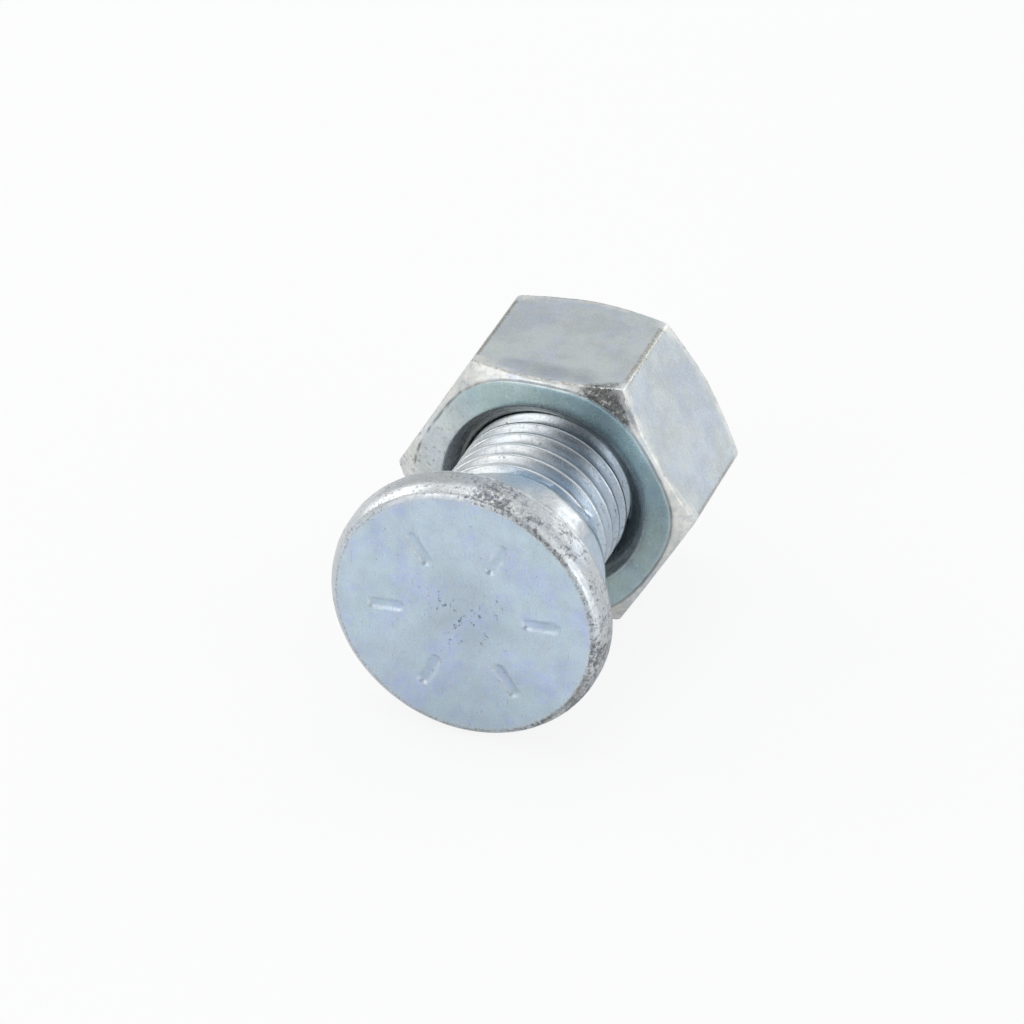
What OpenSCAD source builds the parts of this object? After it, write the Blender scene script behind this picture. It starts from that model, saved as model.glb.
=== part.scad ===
// Plow bolt with hex nut, in millimetres.
// Lying on its side: X runs along the bolt from the head, Z is up.
// The origin is the centre of the flat head face.

/* [Head] */
// Diameter of the head over its rim
head_d = 35.3; // [34.5:0.1:36.5]
// Thickness of the straight rim of the head, the rounded edge included
head_rim_t = 4.2; // [3.6:0.1:5]
// Diameter of the flat face inside the rounded edge
head_face_d = 33.3; // [32.8:0.1:34]
// Length of the rounded edge along the bolt, from the face to the straight rim
head_edge_l = 2.5; // [2:0.1:3.2]
// Full angle of the cone under the head
head_cone_deg = 80; // [76:1:90]

/* [Square neck] */
// Width of the square neck across its flats
neck_w = 22.4; // [22.2:0.1:23]
// Diameter over the rounded corners of the square neck
neck_corner_d = 30; // [28.5:0.1:31]
// Distance from the head face to where the neck's taper meets the shank
neck_end = 16.5; // [15.6:0.1:17.4]
// Slope of the neck's taper, measured from the bolt's axis
neck_taper_deg = 35; // [30:1:45]
// Turn of the neck about the axis, measured from the nut's flats
neck_turn_deg = -8.5; // [-45:0.5:45]

/* [Shank] */
// Outside diameter of the thread
thread_d = 22; // [21.7:0.05:22]
// Length of the bolt from the head face to the end of the thread
bolt_len = 50; // [49:0.5:54]
// Length and depth of the chamfer on the thread's end
end_chamfer = 1.6; // [1.2:0.1:2]

/* [Nut] */
// Width of the nut across its flats
nut_af = 34; // [33.6:0.1:34.4]
// Height of the nut
nut_h = 20; // [18:0.1:20.8]
// Distance from the head face to the nut's near face
nut_at = 27.4; // [26:0.1:28]
// Diameter of the flat bearing face inside the chamfer
nut_face_d = 33.2; // [32:0.1:33.4]
// Slope of the nut's corner chamfers, measured from the face
nut_chamfer_deg = 31; // [25:1:35]
// Diameter of the countersink at the mouth of the nut's hole
nut_sink_d = 26.3; // [25:0.1:27.5]
// Full angle of the nut's countersinks
nut_sink_deg = 90; // [80:5:120]
// Gap all round between the outside of the thread and the nut's hole
thread_gap = 0.05; // [0.03:0.01:0.09]

/* [Hidden] */
$fn = 128;
head_r = head_d / 2;
head_edge_w = (head_d - head_face_d) / 2;
head_edge_r = (head_edge_l * head_edge_l + head_edge_w * head_edge_w) / (2 * head_edge_w);
head_edge_at = head_r - head_edge_r;
shank_r = thread_d / 2;
head_cone_end = head_rim_t + (head_r - shank_r) / tan(head_cone_deg / 2);
neck_corner_r = neck_corner_d / 2;
neck_taper_start = neck_end - (neck_corner_r - shank_r) / tan(neck_taper_deg);
neck_start = head_rim_t;
end_r = shank_r - end_chamfer;
nut_corner_r = nut_af / sqrt(3);
nut_face_r = nut_face_d / 2;
nut_chamfer_l = (nut_corner_r - nut_face_r) * tan(nut_chamfer_deg);
nut_bore_r = shank_r + thread_gap;
nut_sink_r = nut_sink_d / 2;
nut_sink_l = (nut_sink_r - nut_bore_r) / tan(nut_sink_deg / 2);
overrun = 1;
hex_sides = 6;
half_flat_deg = 180 / hex_sides;

// Turns a shape drawn about Z so that it lies along X
module along_x() {
  rotate([0, 90, 0])
    children();
}

// Half section of the head's disc, its edge rounded on the face side
module head_disc_section() {
  square([head_edge_at, head_rim_t]);
  translate([0, head_edge_l])
    square([head_r, head_rim_t - head_edge_l]);
  intersection() {
    square([head_r, head_rim_t]);
    translate([head_edge_at, head_edge_l])
      circle(head_edge_r);
  }
}

// Half section of the cone under the head and of the shank with its end chamfer
module stem_section() {
  polygon([
    [0, head_edge_l],
    [head_r, head_edge_l],
    [head_r, head_rim_t],
    [shank_r, head_cone_end],
    [shank_r, bolt_len - end_chamfer],
    [end_r, bolt_len],
    [0, bolt_len]
  ]);
}

// Half section that rounds the neck's corners and tapers its end
module neck_limit_section() {
  polygon([
    [0, neck_start],
    [neck_corner_r, neck_start],
    [neck_corner_r, neck_taper_start],
    [shank_r, neck_end],
    [0, neck_end]
  ]);
}

// The square neck with rounded corners
module square_neck() {
  intersection() {
    rotate([0, 0, neck_turn_deg])
      translate([-neck_w / 2, -neck_w / 2, neck_start])
        cube([neck_w, neck_w, neck_end - neck_start]);
    rotate_extrude()
      neck_limit_section();
  }
}

// Half section of the nut's outside, chamfered at both ends
module nut_limit_section() {
  polygon([
    [0, 0],
    [nut_face_r, 0],
    [nut_corner_r, nut_chamfer_l],
    [nut_corner_r + overrun, nut_chamfer_l],
    [nut_corner_r + overrun, nut_h - nut_chamfer_l],
    [nut_corner_r, nut_h - nut_chamfer_l],
    [nut_face_r, nut_h],
    [0, nut_h]
  ]);
}

// Half section of the nut's hole, countersunk at both ends
module nut_hole_section() {
  polygon([
    [0, -overrun],
    [nut_sink_r, -overrun],
    [nut_sink_r, 0],
    [nut_bore_r, nut_sink_l],
    [nut_bore_r, nut_h - nut_sink_l],
    [nut_sink_r, nut_h],
    [nut_sink_r, nut_h + overrun],
    [0, nut_h + overrun]
  ]);
}

// Bolt: flat round head, square neck and shank in one piece
module plow_bolt() {
  color([0.71, 0.75, 0.79])
    along_x()
      union() {
        rotate_extrude()
          union() {
            head_disc_section();
            stem_section();
          }
        square_neck();
      }
}

// Nut: hexagon chamfered at both ends, with a countersunk hole
module hex_nut() {
  color([0.72, 0.75, 0.77])
    translate([nut_at, 0, 0])
      along_x()
        difference() {
          intersection() {
            rotate([0, 0, half_flat_deg])
              cylinder(h = nut_h, r = nut_corner_r, $fn = hex_sides);
            rotate_extrude()
              nut_limit_section();
          }
          rotate_extrude()
            nut_hole_section();
        }
}

plow_bolt();
hex_nut();
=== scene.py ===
"""Plow bolt and its hex nut, dressed in worn zinc plating on a white floor."""

import math
from collections import namedtuple

import bmesh
import bpy
import numpy as np
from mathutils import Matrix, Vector, noise


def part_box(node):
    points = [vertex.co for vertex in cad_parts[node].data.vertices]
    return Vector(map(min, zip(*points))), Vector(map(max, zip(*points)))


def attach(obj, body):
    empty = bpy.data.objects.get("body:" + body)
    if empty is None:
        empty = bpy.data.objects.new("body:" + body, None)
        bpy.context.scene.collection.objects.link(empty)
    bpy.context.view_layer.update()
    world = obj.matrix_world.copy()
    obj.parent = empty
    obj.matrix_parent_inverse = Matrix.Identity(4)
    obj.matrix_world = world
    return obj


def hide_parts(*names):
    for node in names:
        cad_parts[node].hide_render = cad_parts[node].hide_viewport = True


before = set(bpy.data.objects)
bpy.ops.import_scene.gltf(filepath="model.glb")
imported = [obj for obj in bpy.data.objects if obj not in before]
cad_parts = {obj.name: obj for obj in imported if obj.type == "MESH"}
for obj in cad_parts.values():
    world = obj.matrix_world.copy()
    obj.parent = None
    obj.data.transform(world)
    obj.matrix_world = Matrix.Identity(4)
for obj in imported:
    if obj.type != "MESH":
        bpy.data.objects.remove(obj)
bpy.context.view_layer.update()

MM = 0.001
FULL_TURN = 2 * math.pi


def box_mm(node):
    """A node's lowest and highest corners in millimetres."""
    low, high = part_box(node)
    return np.array(low) / MM, np.array(high) / MM


BOLT_HIGH = box_mm("plow_bolt")[1]
NUT_LOW, NUT_HIGH = box_mm("hex_nut")

# Lengths are in millimetres, and X runs along the bolt from the head face.
# Azimuths are in degrees round X: 0 is +Y, the left in the photograph, and 90 is up.
# A patch is an azimuth, its reach on either side in degrees, and its strength.
# A sector is an azimuth and the cosines from it at which something starts and is full.
# A span is where something starts and where it is full; a fade runs the other way.
# A layer of noise is its height, the size of its bumps and its seed.

# Head
HEAD_R = BOLT_HIGH[2]
FACE_R = 16.65
EDGE_LENGTH = 2.5
EDGE_R = (EDGE_LENGTH ** 2 + (HEAD_R - FACE_R) ** 2) / (2 * (HEAD_R - FACE_R))
EDGE_SOFT = 0.42
EDGE_SOFTER = (20, 110, 0.48)
RIM_LENGTH = 4.2
RIM_TURN_IN = 0.12
CONE_SLOPE = math.tan(math.radians(40))

# Rows of the head's grids: first radius, last radius and how many
FACE_ROWS = ((0, 6.9, 14), (7.05, 12.75, 39), (13, 16.2, 13))
EDGE_ROWS = ((16.28, 17.0, 17), (17.08, 17.5, 6), (17.58, 17.63, 2))
RIM_ROWS = 7

# Six plain strokes sunk in the head face
STROKES = 6
STROKE_TURN = math.radians(-4)
STROKE_FROM = 7.4
STROKE_TO = 12.4
STROKE_HALF = 0.85
STROKE_DEPTH = 0.34
STROKE_WALL = (-0.5, 0.1)

# Wear and painted shade of the head face; its spans are radii, apart from the tint's over the edge
FACE_LAYERS = ((0.035, 6.0, 1), (0.012, 1.3, 2))
HOLLOW_SPAN = (0.0, 0.6, 13.5, 15.2)
CENTRE_FADE = (2.0, 8.0)
BORDER_SPAN = (15.9, 16.4)
FACE_SHADED = (275, 70, 0.1)
FACE_SHADED_SPAN = (3.0, 9.0)
FACE_TINT_SPAN = (15.7, 16.5)
FACE_TINT_LOSS = 0.6
FACE_TINT_FADE = (0.08, 0.36)
FACE_WEAR_AND_SHADE = {
    # The stroke and centre shades are painted shade, darker in the sunk strokes and at the centre
    "stroke_shade": 0.04,
    "centre_shade": 0.2,
    "stroke_blue": 0.3,
    "wall_worn": 0.6,
    "centre_pits": 0.7,
    "border_pits": 0.3,
}

# The torn line where the face meets its rounded edge, least torn at the top, where a painted highlight
# runs along it
EDGE_TORN = 0.62
EDGE_PATCHES = ((116, 30, 0.15), (213, 26, 0.3), (86, 42, -0.5))
EDGE_TORN_FADE = (0.05, 0.17)
EDGE_TORN_WIDER = (213, 42, 0.15)
FACE_SEAM_TINT = 0.5

# Wear of the rim, with painted highlights and painted shade; its spans are along X, and the worst
# pits have a share everywhere and one added near the face
RIM_LAYERS = ((0.10, 2.6, 3), (0.05, 0.8, 4))
RIM_LAYERS_SPAN = (0.1, 0.8)
RIM_INNER_FADE = (0.4, 2.5)
RIM_PITS_EVEN = 0.12
RIM_PITS_INNER = (160, 80, 0.22)
RIM_PITS_WORST = ((116, 40, 0.7), (213, 42, 0.9))
RIM_PITS_WORST_SHARE = (0.7, 0.4)
RIM_PITS_LIGHT = ((60, 50, 0.2), (174, 30, 0.3))
RIM_PITS_HIGHLIGHT_OFF = 0.6
# The highlight band, line and back edge are painted highlights: brighter, less pitted plating where the
# rim looks lit
RIM_HIGHLIGHT_BAND = (148, 38, 1.0)
RIM_HIGHLIGHT_BAND_SPAN = (0.12, 0.3, 0.7, 1.1)
RIM_HIGHLIGHT_LINE = (86, 42, 0.95)
RIM_HIGHLIGHT_LINE_FADE = (0.16, 0.32)
RIM_BACK_SPAN = (RIM_LENGTH - 0.6, RIM_LENGTH - 0.1)
RIM_BACK_TORN = (174, 30, 0.8)
RIM_BACK_HIGHLIGHT = (124, 34, 0.9)
# The dull patches are dull plating by the pits, and painted shade over the right side
RIM_DULL_AND_SHADE_PATCHES = ((116, 40, 0.26), (213, 42, 0.46), (160, 100, 0.08))
RIM_DULL_AND_SHADE_SPAN = (0.3, 1.0)
RIM_BLOT = (207, 10, 1.0)
RIM_BLOT_FADE = (0.25, 0.8)
RIM_BLOT_LEVEL = 0.6
RIM_BLOT_LAYERS = ((0.8, 0.9, 13),)
NECK_SEAM_PITS = 0.4

# Thread; the crest passes azimuth zero at CREST_X and climbs right-handed
THREAD_R = 11.0
PITCH = 2.5
THREAD_DEPTH = 1.534
CREST_HALF = PITCH / 16
CREST_ROUND = 0.12
ROOT_ROUND = 0.16
FLANK_RUN = math.tan(math.radians(30))
CREST_X = 26.55
THREAD_START = 13.2
RUNOUT = 1.7
RUNOUT_EARLY = 0.7
BOLT_END = BOLT_HIGH[0]
END_CHAMFER = 1.6
PROFILE_ROWS = (0.0, 0.1, 0.19, 0.32, 0.62, 0.9, 1.02, 1.13, 1.25, 1.37, 1.48, 1.6, 1.88, 2.18, 2.31, 2.4)

# Wear and painted shade of the thread; SUNK is a share of its depth below the crest, R a radius, and the
# rest along X
THREAD_DENTS = ((0.014, 1.6, 7),)
THREAD_GRAIN = ((0.005, 0.6, 8),)
THREAD_WEAR_SPAN = (THREAD_START, THREAD_START + 0.5)
CREST_SUNK_FADE = (0.01, 0.07)
CREST_R_FADE = (THREAD_R + 0.02, THREAD_R + 0.2)
CREST_WORN = 0.25
# Painted shade at the roots and on the flanks near the nut
ROOT_SUNK_SPAN = (0.5, 0.74)
ROOT_SHADE = 0.95
THREAD_SHADE = (136, 62, 0.5)
THREAD_SHADE_SPAN = (20.0, 26.0)
THREAD_PITS = 0.17
THREAD_PITS_SUNK_FADE = (0.4, 0.7)
THREAD_PITS_RUN = 2.0
FIRST_TURN_FADE = (1.0, 3.5)

# The dished end of the bolt
END_ROWS = 22
END_DISH = 0.35
END_DISH_SPAN = (0.0, 4.0)
END_LAYERS = ((0.03, 1.8, 9),)
END_PITS = 0.5

# Square neck: distances of its four flats from the axis, a little off centre
NECK_TURN = math.radians(-8.5)
NECK_FLATS = (10.9, 11.1, 12.9, 11.2)
FLAT_COSINE_LEAST = 0.1
NECK_CORNER_R = 15.0
NECK_TAPER_X = 10.75
TAPER_END = 16.6
TAPER_LEAN = 2.3
TAPER_LEVEL = 126.5
NECK_START = RIM_LENGTH + 0.15
NECK_ROWS = 40
CORNER_BLEND = 0.5
TAPER_BLEND = 0.4
CONE_BLEND = 0.6
THREAD_BLEND = 0.2

# Wear of the neck, a painted highlight on its corner, and the blue plating from the neck on to the first
# turns of the thread
NECK_LAYERS = ((0.04, 2.2, 5), (0.015, 0.7, 6))
NECK_SINK = 0.04
NECK_LAYERS_FADE = (THREAD_START - 1.0, THREAD_START)
NECK_PITS = 0.12
NECK_WORN = 0.2
NECK_CORNER = (TAPER_LEVEL, 0.9, 0.99)
NECK_CORNER_FADE = (11.0, 13.0)
# Painted highlight: the corner's plating is made brighter so it shows a white glint
NECK_CORNER_HIGHLIGHT = 0.65
BLUE_SIDE = (160, 0.35, 0.9)
BLUE_SIDE_SHARE = 0.65
BLUE_FIRST_TURN = (118, 45, 1.0)
BLUE_SPAN = (9.5, THREAD_START)
BLUE_BACK = (174, 42, 0.9)
BLUE_BACK_SPAN = (6.0, 9.0)
BLUE_LEAST = 0.15

# Nut
NUT_SIDES = 6
NUT_SECTOR = FULL_TURN / NUT_SIDES
NUT_X0 = NUT_LOW[0]
NUT_X1 = NUT_HIGH[0]
NUT_APOTHEM = (NUT_HIGH[2] - NUT_LOW[2]) / 2
NUT_CORNER_SOFT = 0.42
CORNER_CROWDING = 0.12
NUT_BORE_R = 9.75
THREAD_CLEARANCE = 0.12
FLAT_ROWS = 24

# The countersink's lip: depth, and the radius added where it is crisp and where it is soft
SINK_R = 12.95
SINK_LIP = (
    (0.25, 0.0, 0.0),
    (0.15, 0.10, 0.16),
    (0.06, 0.19, 0.42),
    (0.02, 0.25, 0.72),
    (0.0, 0.32, 1.1),
)
SINK_SOFT = (150, 105, 1.0)
# Less painted shade and some painted light on the countersink's soft side
SINK_SHADE_EASED = (150, 105, 0.8)
SINK_TINT = (150, 105, 0.9)
SINK_PAINTED_LIGHT = 0.4

# Painted shade in the nut's thread: at the mouth, and added further in
BORE_SHADE = (0.14, 0.5)
BORE_SHADE_SPAN = (0.2, 1.8)

# Rows over the bearing ring and the chamfer, as shares of the way across
RING_SHARES = np.linspace(0.1, 1.0, 9)
RING_INSET = 0.3
CHAMFER_SHARES = np.linspace(0.12, 1.0, 7)
CHAMFER_INSET = 0.16
CHAMFER_DEPTH_LEAST = 0.15

# The burr round the ring: depth, depth added where torn, way out from the ring's edge,
# darkness, and darkness added where torn
BURR_ROWS = (
    (0.02, 0.0, -0.22, 0.0, 0.3),
    (0.05, 0.1, -0.1, 0.6, 0.4),
    (0.08, 0.12, 0.02, 0.6, 0.4),
    (0.12, 0.05, 0.14, 0.0, 0.5),
)
BURR_OUT = BURR_ROWS[-1][2]
BURR_EVEN = 0.45
BURR_PATCHES = ((190, 80, 0.55), (20, 70, 0.55))
BURR_BROKEN = (20, 70, 0.85)
BURR_BREAK_FADE = (0.42, 0.62)

# The lip where a chamfer meets the flats: depth past it, inset, inset added where torn,
# lip mask, and mask added where torn
LIP_ROWS = (
    (0.0, 0.02, 0.1, 0.6, 0.4),
    (0.14, 0.0, 0.03, 0.7, 0.3),
    (0.3, 0.0, 0.0, 0.0, 0.8),
    (0.5, 0.0, 0.0, 0.0, 0.0),
)

# Waves of the nut's outside, kept off both ends
NUT_LAYERS = ((0.035, 7.0, 10), (0.012, 1.5, 11))
NUT_SINK = 0.04
NUT_END_KEPT = 0.3

# The rough corner of the near chamfer, dark but for a bright streak along its right edge
HACKED_AT = 120
HACKED = (HACKED_AT, math.cos(math.radians(16)), math.cos(math.radians(8)))
HACKED_REACH = 2.0
HACKED_IN = 1.0
HACKED_OUT = 0.1
HACKED_SPAN = (0.2, 0.5)
HACKED_DEPTH = 0.13
HACKED_LAYERS = ((0.13, 0.55, 12),)
HACKED_DARK = 0.95
HACKED_PITS = 0.9
HACKED_STREAK_SINES = (math.sin(math.radians(-5)), 0.0)
HACKED_STREAK_SPAN = (-0.95, -0.6)

# Wear of the nut's outside, with painted shade on the bearing ring and a painted highlight along the lip;
# its spans are depths from the nearer end or radii
NUT_NEAR_REACH = 3
CHAMFER_SPAN = (0.08, 0.16)
CHAMFER_FADE = (0.3, 0.9)
CHAMFER_PITS = 0.12
CHAMFER_PITS_LEFT = (20, 50, 0.2)
CHAMFER_WORN = 0.8
LIP_PITS = 0.2
LIP_BRIGHT = (160, math.cos(math.radians(58)), math.cos(math.radians(32)))
# The lip is painted bright on the side that faces the bright side of the studio
LIP_HIGHLIGHT = 0.95
LIP_TORN = 0.9
CORNER_LINE_SPAN = (19.28, 19.46)
CORNER_LINE_TORN = 0.95
CORNER_LINE_PITS = 0.1
RING_DEPTH = 0.05
RING_OUT = 0.4
RING_PALE = (0, 0.5, 0.9)
RING_PALE_SHARE = 0.9
RING_STAINED = (20, 75, 0.22)
# Painted shade on the bearing ring
RING_SHADE_RIGHT = (165, 70, 0.22)
RING_SHADED = (150, 90, 0.3)
RING_SHADED_FADE = (SINK_R, SINK_R + 1.6)
SCUFFED_TOP = (90, 40, 0.5)
SCUFFED_ACROSS = (-8.0, -5.0, 4.0, 7.0)
SCUFFED_DEPTH = (1.0, 2.0, 3.2, 4.6)
SCUFFED_REACH = 8
SCUFFED_STRETCH = np.array([1.0, 0.18, 1.0])
SCUFFED_LAYERS = ((0.5, 0.5, 14),)
BLUE_FLAT_AT = 150
BLUE_FLAT_SHARE = 0.2
BLUE_FLAT_SPAN = (1.0, 2.0)

# Mesh
COLUMNS = 216
# One mask darkens with painted shade and dirt, one brightens with wear and painted highlights
MASKS = ("face", "pitted", "shade_and_dirt", "worn_and_highlight", "edge", "blue")
WELD_DISTANCE = 0.002 * MM
SLIVER_DISTANCE = 0.001 * MM
BOLT_SHARP_DEG = 48
NUT_SHARP_DEG = 42


def nut_end(ring_r, wave, slope_deg, seed):
    """Form of one end of the nut: bearing ring, slope of the chamfer and noise."""
    return {
        "ring_r": ring_r,
        "wave": wave,
        "slope": math.tan(math.radians(slope_deg)),
        "ragged": ((0.05, 1.1, seed), (0.06, 3.5, seed + 1)),
        "torn": ((0.5, 0.9, seed + 2),),
    }


NEAR_END = nut_end(16.6, 0.33, 31, 20)
FAR_END = nut_end(16.85, 0.0, 33, 30)


def smooth_max(a, b, width):
    """The larger of two values, blended where they come within width."""
    t = np.clip(0.5 + 0.5 * (a - b) / width, 0.0, 1.0)
    return b * (1 - t) + a * t + width * t * (1 - t)


def smooth_min(a, b, width):
    """The smaller of two values, blended where they come within width."""
    return -smooth_max(-a, -b, width)


def smooth_step(value, start, end):
    """Zero before start, one after end, eased between."""
    t = np.clip((value - start) / (end - start), 0.0, 1.0)
    return t * t * (3 - 2 * t)


def fade(value, start, end):
    """One before start, zero after end, eased between."""
    return 1 - smooth_step(value, start, end)


def band(value, start, full, fading, end):
    """One from full to fading, zero before start and after end."""
    return smooth_step(value, start, full) * fade(value, fading, end)


def sector(a, azimuth, start, full):
    """Zero where the cosine from an azimuth is under start, one where it is over full."""
    return smooth_step(np.cos(a - math.radians(azimuth)), start, full)


def patches(a, *spots):
    """Sum of patches round the axis, each full at its azimuth and gone at its reach."""
    total = 0.0
    for azimuth, reach, strength in spots:
        total = total + strength * sector(a, azimuth, math.cos(math.radians(reach)), 1.0)
    return total


def on_axis(x, r, a):
    """Points at distance x along the bolt, radius r and azimuth a."""
    x, r, a = np.broadcast_arrays(x, r, a)
    return np.stack([x, r * np.cos(a), r * np.sin(a)], axis=-1)


def rough(points, size, seed):
    """Smooth noise from -1 to 1 at each point, with bumps about size mm across."""
    shift = Vector((seed * 3.7, seed * 1.9, seed * 5.3))
    flat = points.reshape(-1, 3) / size
    values = [noise.noise(Vector(p) + shift) for p in flat]
    return np.array(values).reshape(points.shape[:-1])


def bumps(points, layers):
    """Sum of layers of noise, to either side of zero."""
    return sum(height * rough(points, size, seed) for height, size, seed in layers)


def hollows(points, layers):
    """Sum of layers of noise, from zero up to each layer's height."""
    return sum(height * (1 + rough(points, size, seed)) / 2 for height, size, seed in layers)


def strip(points, seam_rows=0, **masks):
    """One grid of points; its seam joins a row to the row seam_rows later."""
    shape = points.shape[:-1]
    filled = {name: np.broadcast_to(value, shape) for name, value in masks.items()}
    return {"points": points, "seam_rows": seam_rows, "masks": filled}


def bridge(before, after, **masks):
    """A grid from the last row of one grid to the first row of the next."""
    return strip(np.stack([before["points"][-1], after["points"][0]]), **masks)


def strip_faces(rows, cols, start, seam_rows):
    """Four-sided faces of one grid whose first point has the index start."""
    faces = []
    for i in range(rows - 1):
        for j in range(cols):
            last = j == cols - 1
            k = 0 if last else j + 1
            step = seam_rows if last else 0
            if i + 1 + step >= rows:
                continue
            faces.append((
                start + i * cols + j,
                start + (i + 1) * cols + j,
                start + (i + 1 + step) * cols + k,
                start + (i + step) * cols + k,
            ))
    return faces


def mask_values(strips, mask):
    """One mask's values at the points of all grids, zero where a grid lacks it."""
    parts = []
    for s in strips:
        blank = np.zeros(s["points"].shape[:2])
        parts.append(np.asarray(s["masks"].get(mask, blank)).reshape(-1))
    return np.concatenate(parts).astype(np.float32)


def close_mesh(mesh):
    """Welds the grids' shared borders, drops slivers and turns all faces outwards."""
    bm = bmesh.new()
    bm.from_mesh(mesh)
    bmesh.ops.remove_doubles(bm, verts=bm.verts, dist=WELD_DISTANCE)
    bmesh.ops.dissolve_degenerate(bm, edges=bm.edges, dist=SLIVER_DISTANCE)
    loose = [v for v in bm.verts if not v.link_faces]
    bmesh.ops.delete(bm, geom=loose, context="VERTS")
    bmesh.ops.recalc_face_normals(bm, faces=bm.faces)
    bm.to_mesh(mesh)
    bm.free()


def build_piece(name, strips, sharp_deg):
    """One closed mesh from grids whose borders meet."""
    points = np.concatenate([s["points"].reshape(-1, 3) for s in strips]) * MM
    faces = []
    start = 0
    for s in strips:
        rows, cols = s["points"].shape[:2]
        faces += strip_faces(rows, cols, start, s["seam_rows"])
        start += rows * cols
    mesh = bpy.data.meshes.new(name)
    mesh.from_pydata(points.tolist(), [], faces)
    for mask in MASKS:
        layer = mesh.attributes.new(mask, "FLOAT", "POINT")
        layer.data.foreach_set("value", mask_values(strips, mask))
    close_mesh(mesh)
    mesh.shade_smooth()
    mesh.set_sharp_from_angle(angle=math.radians(sharp_deg))
    piece = bpy.data.objects.new(name, mesh)
    bpy.context.scene.collection.objects.link(piece)
    return piece


def thread_section(along, depth, crest_r):
    """Radius of a thread at a distance along from the nearest crest."""
    drop = np.clip((along - CREST_HALF) / FLANK_RUN, 0.0, None)
    drop = smooth_max(drop, 0.0, CREST_ROUND)
    return crest_r - smooth_min(drop, depth, ROOT_ROUND)


def helix_rows(low, high, a):
    """X of rows that follow the thread, held between two planes."""
    first = math.floor((low - CREST_X) / PITCH) - 1
    last = math.ceil((high - CREST_X) / PITCH)
    turns = np.repeat(np.arange(first, last + 1), len(PROFILE_ROWS))
    along = np.tile(PROFILE_ROWS, last + 1 - first)
    x = CREST_X + PITCH * turns[:, None] + along[:, None] + PITCH * a[None, :] / FULL_TURN
    return np.clip(x, low, high)


def from_crest(x, a):
    """Distance along the bolt from x to the nearest crest at azimuth a."""
    phase = (x - CREST_X - PITCH * a / FULL_TURN) / PITCH
    return np.abs(phase - np.round(phase)) * PITCH


def stroke_depth(r, a):
    """Share of the full depth in the sunk strokes with rounded ends on the head face."""
    each = FULL_TURN / STROKES
    turn = (a - STROKE_TURN + each / 2) % each - each / 2
    along = r * np.cos(turn)
    nearest = np.clip(along, STROKE_FROM + STROKE_HALF, STROKE_TO - STROKE_HALF)
    away = np.hypot(along - nearest, r * np.sin(turn)) - STROKE_HALF
    return fade(away, *STROKE_WALL)


def edge_wear(a):
    """How torn the face's edge is: most at two pitted patches, least at the top."""
    return EDGE_TORN + patches(a, *EDGE_PATCHES)


def face_share(r, x):
    """How much of the face's own tint shows at radius r and depth x."""
    return (1 - FACE_TINT_LOSS * smooth_step(r, *FACE_TINT_SPAN)) * fade(x, *FACE_TINT_FADE)


def edge_x(r, a):
    """How far the head's rounded edge lies behind the face at radius r, softer at the left."""
    out = np.clip(r - HEAD_R + EDGE_R, 0.0, EDGE_R)
    arc = EDGE_LENGTH - np.sqrt(EDGE_R ** 2 - out ** 2)
    return smooth_max(arc, 0.0, EDGE_SOFT + patches(a, EDGE_SOFTER))


def spaced(spans):
    """Values from spans that each give a first value, a last value and how many."""
    return np.concatenate([np.linspace(*span) for span in spans])


def face_strip(a):
    """The flat head face, with its sunk strokes and slight hollows."""
    r = spaced(FACE_ROWS)[:, None]
    points = on_axis(0.0, r, a)
    sunk = stroke_depth(r, a)
    hollow = hollows(points, FACE_LAYERS) * band(r, *HOLLOW_SPAN)
    points[..., 0] = sunk * STROKE_DEPTH + hollow + edge_x(r, a)
    centre = fade(r, *CENTRE_FADE)
    border = smooth_step(r, *BORDER_SPAN)
    wall = 4 * sunk * (1 - sunk)
    # Painted shade: darker in the sunk strokes, at the centre and towards the bottom of the face
    shade = FACE_WEAR_AND_SHADE["stroke_shade"] * sunk + FACE_WEAR_AND_SHADE["centre_shade"] * centre
    shade = shade + patches(a, FACE_SHADED) * smooth_step(r, *FACE_SHADED_SPAN)
    masks = {
        "shade_and_dirt": shade,
        "blue": FACE_WEAR_AND_SHADE["stroke_blue"] * sunk,
        "face": face_share(r, 0.0),
        "pitted": FACE_WEAR_AND_SHADE["centre_pits"] * centre + FACE_WEAR_AND_SHADE["border_pits"] * border,
        "edge": edge_wear(a) * border,
        "worn_and_highlight": FACE_WEAR_AND_SHADE["wall_worn"] * wall,
    }
    return strip(points, **masks)


def rim_pits(x, a):
    """How pitted the rim is: worst in two patches, and more so near the face."""
    inner = fade(x, *RIM_INNER_FADE)
    even, added = RIM_PITS_WORST_SHARE
    pits = RIM_PITS_EVEN + patches(a, RIM_PITS_INNER) * inner
    pits = pits + patches(a, *RIM_PITS_WORST) * (even + added * inner)
    return np.minimum(pits + patches(a, *RIM_PITS_LIGHT), 1)


def rim_highlights(x, a):
    """Painted highlights on the rim: a band, a line by the face and the back edge."""
    across = band(x, *RIM_HIGHLIGHT_BAND_SPAN) * patches(a, RIM_HIGHLIGHT_BAND)
    line = patches(a, RIM_HIGHLIGHT_LINE) * fade(x, *RIM_HIGHLIGHT_LINE_FADE)
    back = patches(a, RIM_BACK_HIGHLIGHT) * smooth_step(x, *RIM_BACK_SPAN)
    return np.maximum(np.maximum(across, line), back)


def rim_torn(x, a):
    """Where the rim's two edges are torn."""
    start, end = EDGE_TORN_FADE
    front = edge_wear(a) * fade(x, start, end + patches(a, EDGE_TORN_WIDER))
    return np.maximum(front, patches(a, RIM_BACK_TORN) * smooth_step(x, *RIM_BACK_SPAN))


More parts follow.
